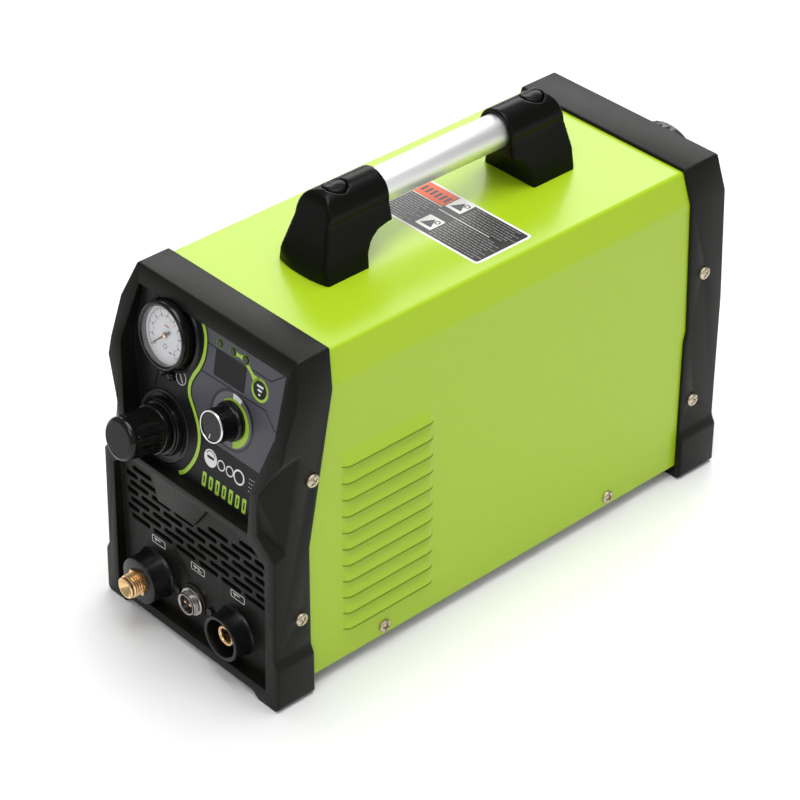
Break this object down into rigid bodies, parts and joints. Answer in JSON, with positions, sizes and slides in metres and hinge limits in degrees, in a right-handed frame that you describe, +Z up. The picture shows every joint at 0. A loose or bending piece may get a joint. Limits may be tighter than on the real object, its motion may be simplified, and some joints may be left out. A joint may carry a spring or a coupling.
{
  "type": "plasma cutter unit",
  "caption": "Air plasma cutting inverter: lime green folded cover between black bezels, top handle, leaning control panel, vented connector panel.",
  "frame": {"origin": "on the floor, under the middle of the whole unit", "axes": "+Y from the control panel towards the back, +X to the right seen from the front, +Z up"},
  "size_m": [0.161, 0.4117, 0.2753],
  "materials": {
    "black_shell": "fine moulded grain, satin",
    "green_paint": "glossy lime green paint on folded sheet",
    "plated_steel": "zinc plated, dull",
    "tube_aluminium": "satin, drawn",
    "yellow_zinc": "yellow zinc plate, satin",
    "printed_film": "printed film, satin, dark greys with lime lines",
    "smoked_window": "smoked window, polished",
    "lamp_lens": "pale diffused lens",
    "circuit_board": "solder mask, satin",
    "white_dial": "matt white",
    "clear_lens": "clear, polished",
    "brass_metal": "turned, bright",
    "black_rubber": "matt",
    "chrome_metal": "polished plating",
    "dark_ferrite": "sintered, matt",
    "copper_winding": "enamelled copper",
    "needle_paint": "black paint"
  },
  "bodies": {
    "housing": {"front_bezel": "black_shell", "rear_bezel": "black_shell", "cover": "green_paint", "base_tray": "plated_steel", "handle_post_front": "black_shell", "handle_post_rear": "black_shell", "handle_tube": "tube_aluminium", "handle_plugs": "black_shell", "handle_screws": "plated_steel", "handle_nuts": "plated_steel", "bezel_screws": "yellow_zinc", "cover_screws": "yellow_zinc", "clip_nuts": "plated_steel", "control_film": "printed_film", "display_window": "smoked_window", "indicator_lights": "lamp_lens", "control_board": "circuit_board", "gauge_case": "black_shell", "gauge_dial": "white_dial", "gauge_lens": "clear_lens", "gauge_stem": "brass_metal", "gauge_clamp_screws": "black_shell", "regulator_body": "black_shell", "regulator_ring": "black_shell", "potentiometer": "plated_steel", "potentiometer_nut": "plated_steel", "torch_boss": "black_shell", "torch_fitting": "brass_metal", "signal_gasket": "black_rubber", "signal_shell": "chrome_metal", "signal_insert": "black_shell", "signal_pins": "brass_metal", "connector_nuts": "plated_steel", "bracket_screws": "black_shell", "earth_body": "black_shell", "earth_contact": "brass_metal", "switch_body": "black_shell", "switch_plate": "plated_steel", "cable_gland": "black_shell", "gland_dome": "black_shell", "air_inlet": "brass_metal", "rear_nuts": "plated_steel", "fan_frame": "black_shell", "power_board": "circuit_board", "heat_sinks": "tube_aluminium", "power_transistors": "black_shell", "filter_capacitors": "black_shell", "transformer_core": "dark_ferrite", "transformer_winding": "copper_winding", "output_choke": "copper_winding", "solenoid_valve": "brass_metal"},
    "regulator_shaft": {"regulator_spindle": "plated_steel"},
    "regulator_cap": {"regulator_knob": "black_shell"},
    "current_dial": {"current_knob": "black_shell", "current_knob_ring": "chrome_metal", "potentiometer_shaft": "plated_steel"},
    "needle": {"gauge_needle": "needle_paint"},
    "fan": {"fan_rotor": "black_shell"},
    "mains_switch": {"switch_knob": "black_shell"}
  },
  "joints": [
    {"name": "regulator_turn", "type": "hinge", "parent": "housing", "child": "regulator_shaft", "pos_m": [-0.0345, -0.17014, 0.13864], "axis": [0, -0.9848, 0.1736], "range_deg": [-540, 540]},
    {"name": "regulator_pull", "type": "slide", "parent": "regulator_shaft", "child": "regulator_cap", "axis": [0, -0.9848, 0.1736], "range_m": [0, 0.004]},
    {"name": "current_turn", "type": "hinge", "parent": "housing", "child": "current_dial", "pos_m": [0.0225, -0.16467, 0.16966], "axis": [0, -0.9848, 0.1736], "range_deg": [-135, 135]},
    {"name": "needle_turn", "type": "hinge", "parent": "housing", "child": "needle", "pos_m": [-0.035, -0.15964, 0.19822], "axis": [0, -0.9848, 0.1736], "range_deg": [-264, 6]},
    {"name": "fan_spin", "type": "hinge", "parent": "housing", "child": "fan", "pos_m": [0, 0.16615, 0.082], "axis": [0, 1, 0], "continuous": true},
    {"name": "mains_turn", "type": "hinge", "parent": "housing", "child": "mains_switch", "pos_m": [0.0175, 0.18115, 0.194], "axis": [0, 1, 0], "range_deg": [0, 90]}
  ]
}
